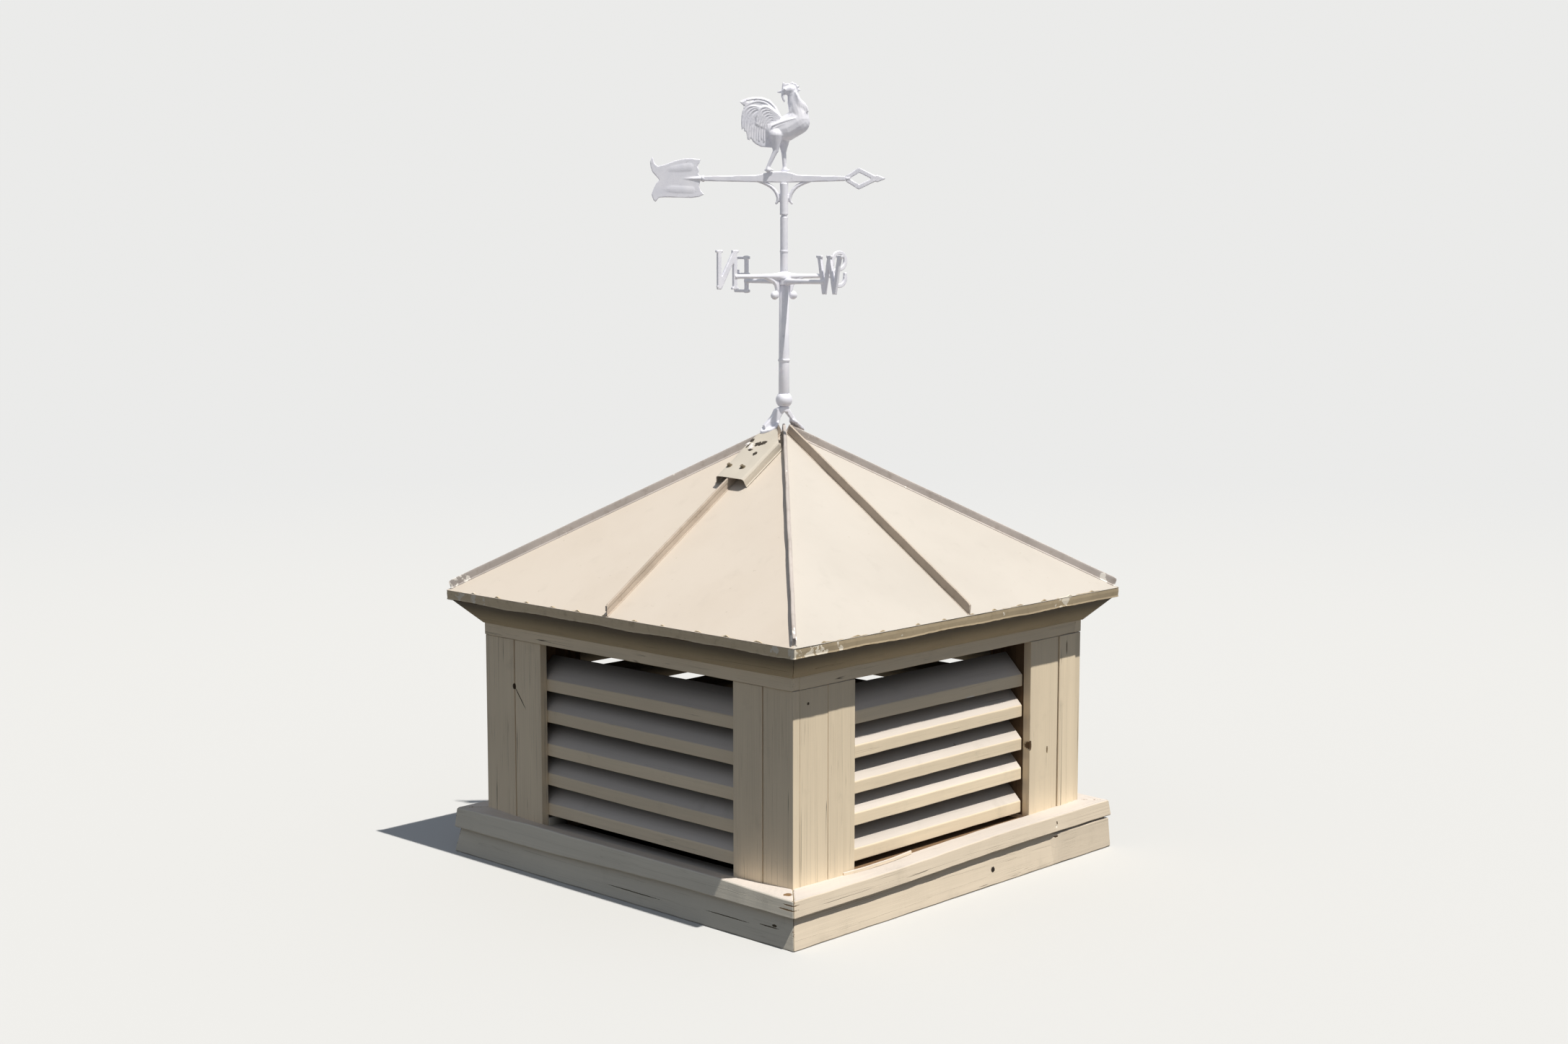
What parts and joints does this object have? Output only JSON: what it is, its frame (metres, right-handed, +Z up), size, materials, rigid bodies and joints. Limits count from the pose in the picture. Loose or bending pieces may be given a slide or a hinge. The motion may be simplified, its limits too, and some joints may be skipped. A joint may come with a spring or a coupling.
{
  "type": "garage roof cupola",
  "caption": "Square louvered wooden roof cupola with a pyramid sheet-metal roof, compass letters and a turning rooster arrow vane.",
  "frame": {"origin": "centre of the square footprint at the skirt's level bottom edge", "axes": "+Z up the vane's axis, -Y out of the sunlit front face, -X out of the other face in view"},
  "size_m": [1.032, 1.032, 1.659],
  "materials": {
    "painted_wood": "weathered matte paint",
    "bare_lumber": "rough sawn",
    "roof_sheet": "satin",
    "roof_rib": "weathered satin",
    "drip_edge": "worn matte paint",
    "cast_vane": "painted satin"
  },
  "bodies": {
    "cupola": {"skirt_front": "painted_wood", "skirt_right": "painted_wood", "skirt_back": "painted_wood", "skirt_left": "painted_wood", "sill_front": "painted_wood", "sill_right": "painted_wood", "sill_back": "painted_wood", "sill_left": "painted_wood", "boards_front": "painted_wood", "boards_right": "painted_wood", "boards_back": "painted_wood", "boards_left": "painted_wood", "louvers_front": "painted_wood", "louvers_right": "painted_wood", "louvers_back": "painted_wood", "louvers_left": "painted_wood", "frieze_front": "painted_wood", "frieze_right": "painted_wood", "frieze_back": "painted_wood", "frieze_left": "painted_wood", "crown_front": "painted_wood", "crown_right": "painted_wood", "crown_back": "painted_wood", "crown_left": "painted_wood", "roof_sheet_front": "roof_sheet", "roof_sheet_right": "roof_sheet", "roof_sheet_back": "roof_sheet", "roof_sheet_left": "roof_sheet", "wall_posts": "bare_lumber", "top_plates": "bare_lumber", "roof_deck": "bare_lumber", "drip_edges": "drip_edge", "hip_ribs": "roof_rib", "mid_ribs": "roof_rib", "vane_stand": "cast_vane", "vane_ball": "cast_vane", "vane_rod": "cast_vane", "vane_spindle": "cast_vane", "compass_north_south": "cast_vane", "compass_east_west": "cast_vane"},
    "vane": {"vane_sleeve": "cast_vane", "arrow_shaft": "cast_vane", "arrow_tail": "cast_vane", "arrow_point": "cast_vane", "rooster": "cast_vane"}
  },
  "joints": [
    {"name": "vane_spin", "type": "hinge", "parent": "cupola", "child": "vane", "pos_m": [0, 0, 1.4], "axis": [0, 0, 1], "continuous": true}
  ]
}
